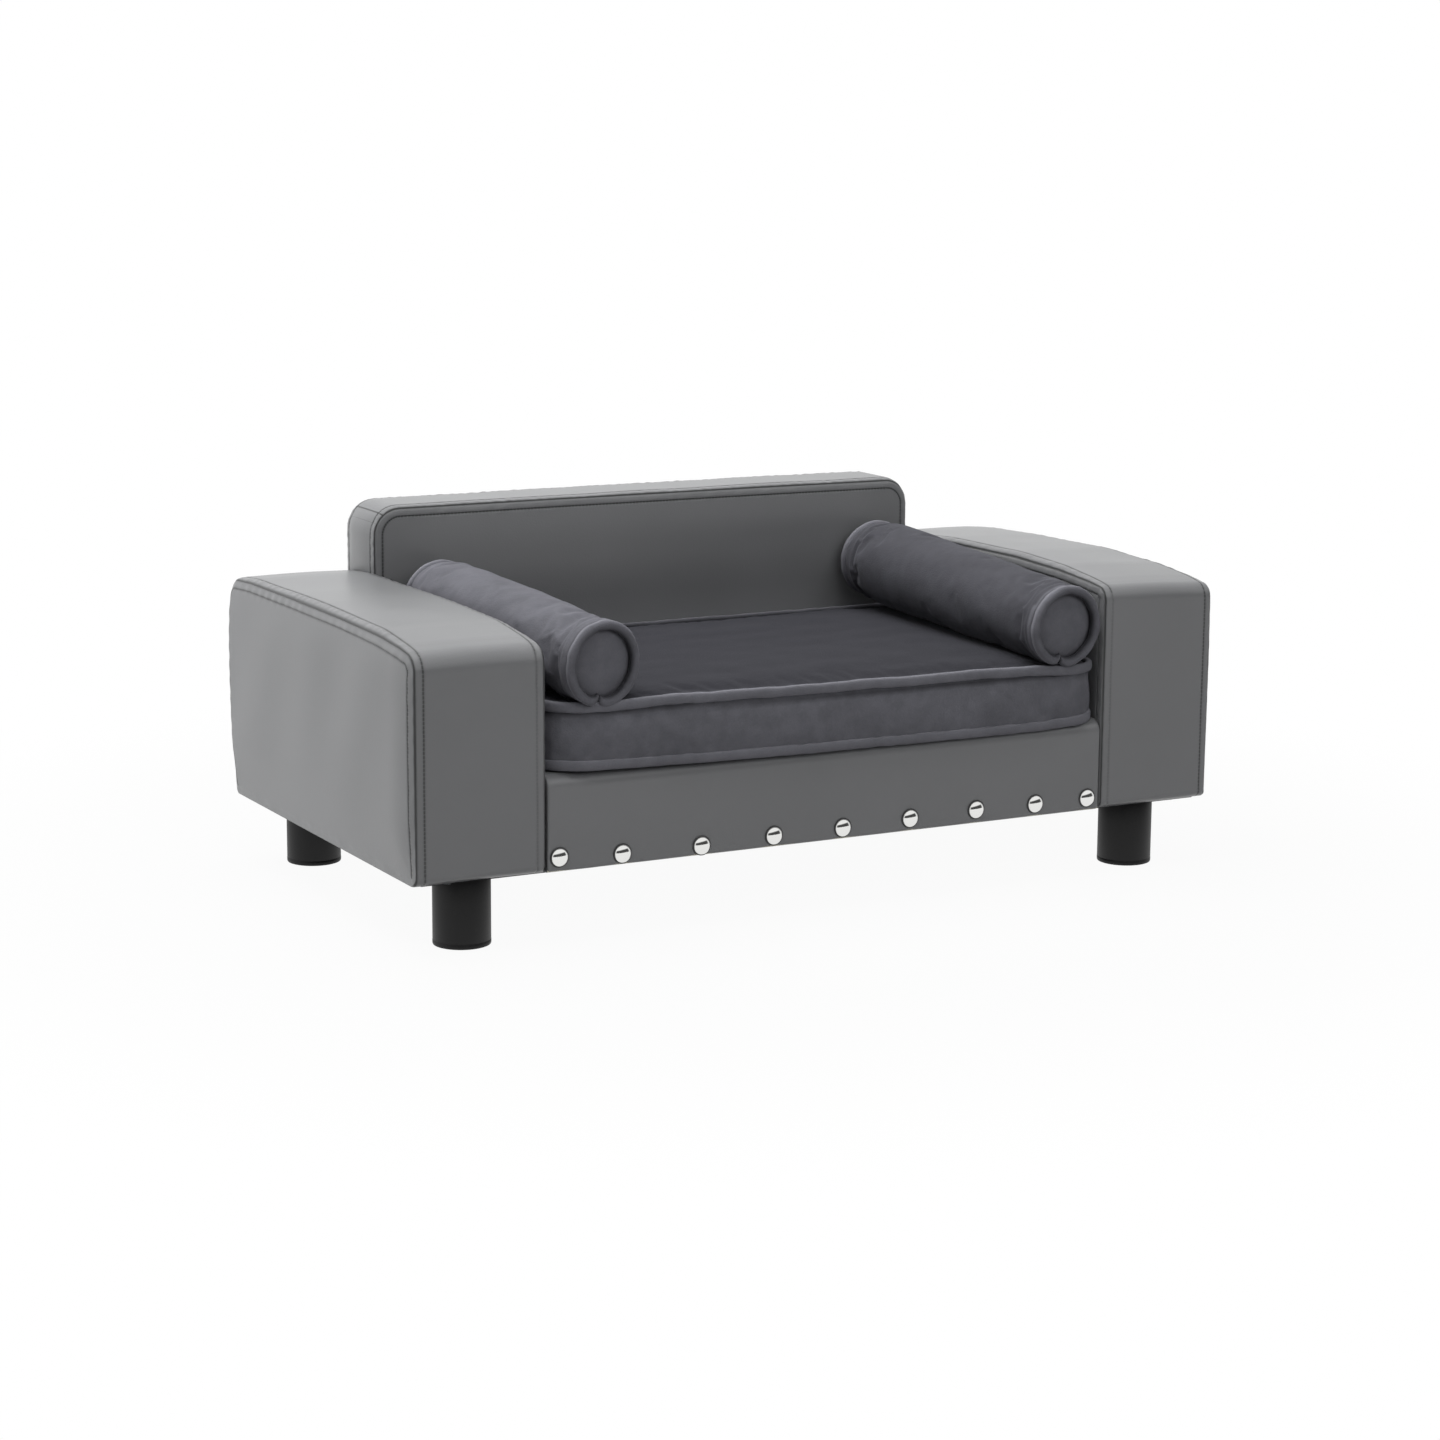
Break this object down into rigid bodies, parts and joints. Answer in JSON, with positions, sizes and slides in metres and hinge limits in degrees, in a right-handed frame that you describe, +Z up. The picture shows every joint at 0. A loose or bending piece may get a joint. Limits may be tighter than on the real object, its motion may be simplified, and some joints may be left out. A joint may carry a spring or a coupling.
{
  "type": "dog sofa bed",
  "caption": "Low dog sofa in grey faux leather with box arms, a padded backrest, a plush seat cushion, loose plush bolsters, chrome dome nails and black round feet.",
  "frame": {"origin": "on the floor under the middle of the upholstered frame", "axes": "+X to the right seen from the front, front towards -Y, +Z up"},
  "size_m": [0.81, 0.4373, 0.334],
  "materials": {
    "faux_leather": "satin",
    "plush": "matte",
    "foam": "matte",
    "fibre_filling": "matte",
    "dust_cloth": "matte",
    "plywood": "raw",
    "pine": "raw",
    "foot_plastic": "matte",
    "nail_chrome": "polished",
    "zinc_steel": "zinc plated",
    "zip_tape": "matte",
    "zip_metal": "gloss"
  },
  "bodies": {
    "sofa": {"backrest_band": "faux_leather", "backrest_front_board": "plywood", "backrest_front_panel": "faux_leather", "backrest_left_post": "pine", "backrest_padding": "foam", "backrest_rear_board": "plywood", "backrest_rear_panel": "faux_leather", "backrest_right_post": "pine", "backrest_top_rail": "pine", "base_cover": "faux_leather", "base_front_rail": "pine", "base_left_rail": "pine", "base_middle_batten": "pine", "base_padding": "foam", "base_rear_rail": "pine", "base_right_rail": "pine", "decor_nails": "nail_chrome", "dust_cover": "dust_cloth", "foot_nuts": "zinc_steel", "foot_studs": "zinc_steel", "front_left_foot": "foot_plastic", "front_right_foot": "foot_plastic", "joining_screws": "zinc_steel", "left_arm_band": "faux_leather", "left_arm_bottom_board": "plywood", "left_arm_front_board": "plywood", "left_arm_inner_board": "plywood", "left_arm_inner_panel": "faux_leather", "left_arm_outer_board": "plywood", "left_arm_outer_panel": "faux_leather", "left_arm_padding": "foam", "left_arm_rear_board": "plywood", "left_arm_top_board": "plywood", "rear_left_foot": "foot_plastic", "rear_right_foot": "foot_plastic", "right_arm_band": "faux_leather", "right_arm_bottom_board": "plywood", "right_arm_front_board": "plywood", "right_arm_inner_board": "plywood", "right_arm_inner_panel": "faux_leather", "right_arm_outer_board": "plywood", "right_arm_outer_panel": "faux_leather", "right_arm_padding": "foam", "right_arm_rear_board": "plywood", "right_arm_top_board": "plywood", "seat_deck": "plywood"},
    "seat_cushion": {"cushion_foam": "foam", "cushion_top_panel": "plush", "cushion_boxing": "plush", "cushion_bottom_panel": "plush", "cushion_top_welt": "plush", "cushion_bottom_welt": "plush", "cushion_zip": "zip_tape"},
    "zip_slider": {"zip_slider": "zip_metal"},
    "left_bolster": {"left_bolster_filling": "fibre_filling", "left_bolster_cover": "plush", "left_bolster_welts": "plush"},
    "right_bolster": {"right_bolster_filling": "fibre_filling", "right_bolster_cover": "plush", "right_bolster_welts": "plush"}
  },
  "joints": [
    {"name": "seat_cushion_lift", "type": "slide", "parent": "sofa", "child": "seat_cushion", "axis": [0, 0, 1], "range_m": [0, 0.2]},
    {"name": "left_bolster_lift", "type": "slide", "parent": "seat_cushion", "child": "left_bolster", "axis": [0, 0, 1], "range_m": [0, 0.14]},
    {"name": "right_bolster_lift", "type": "slide", "parent": "seat_cushion", "child": "right_bolster", "axis": [0, 0, 1], "range_m": [0, 0.14]},
    {"name": "zip_slide", "type": "slide", "parent": "seat_cushion", "child": "zip_slider", "axis": [1, 0, 0], "range_m": [0, 0.23]}
  ]
}
